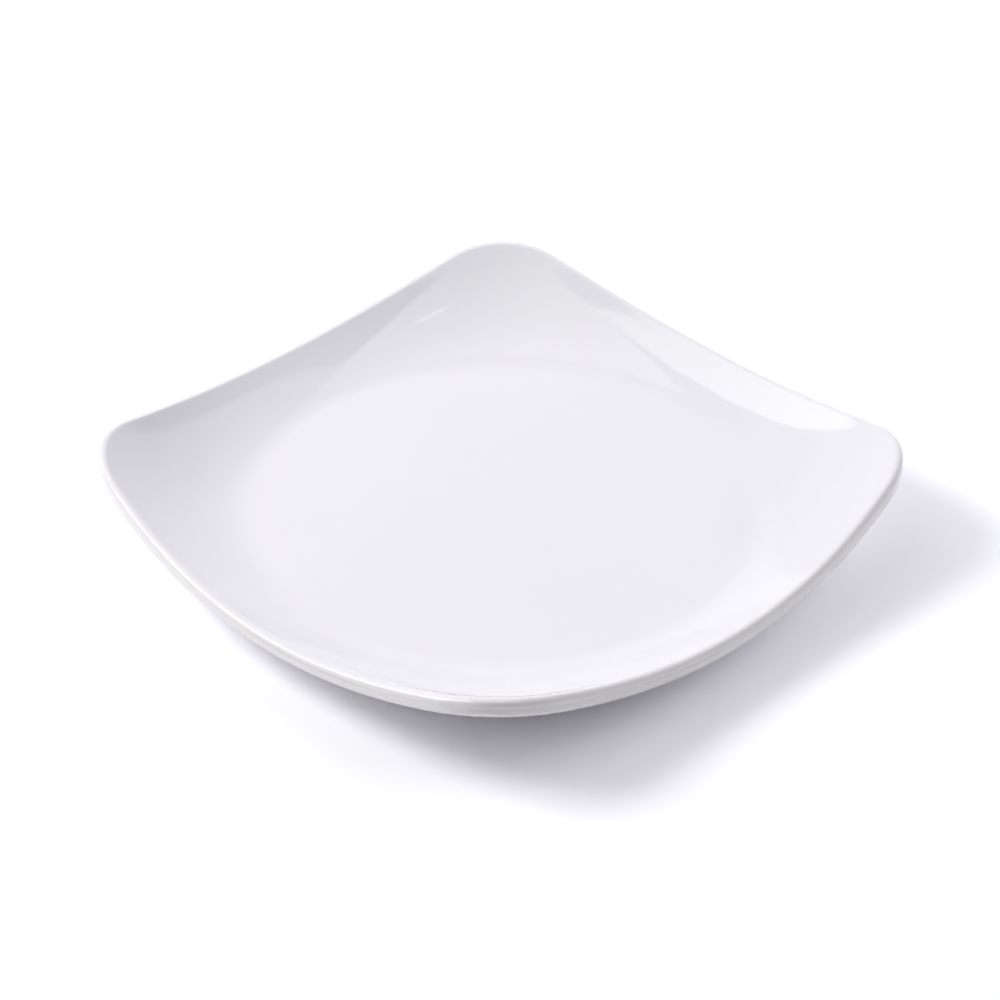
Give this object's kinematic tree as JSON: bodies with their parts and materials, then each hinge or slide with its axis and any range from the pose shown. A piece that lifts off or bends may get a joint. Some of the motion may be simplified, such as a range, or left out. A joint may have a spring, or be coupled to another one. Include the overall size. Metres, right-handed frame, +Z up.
{
  "type": "square plate",
  "caption": "Square coupe plate in white glazed porcelain, with a flat round well, bowed sides, turned-up rounded corners and a round foot ring to stand on.",
  "frame": {"origin": "middle of the foot ring, on the table that the plate stands on", "axes": "+Z up, square to the well; X and Y through the middles of the sides"},
  "size_m": [0.21, 0.21, 0.0299],
  "materials": {
    "bare_porcelain": "fired, unglazed, dull",
    "white_glaze": "clear glossy glaze over cool white porcelain",
    "foot_well_white_glaze": "clear glossy glaze over cool white porcelain"
  },
  "bodies": {
    "root": {"porcelain_body": "bare_porcelain", "glaze_coat": "white_glaze", "foot_well_glaze": "foot_well_white_glaze"}
  },
  "joints": []
}
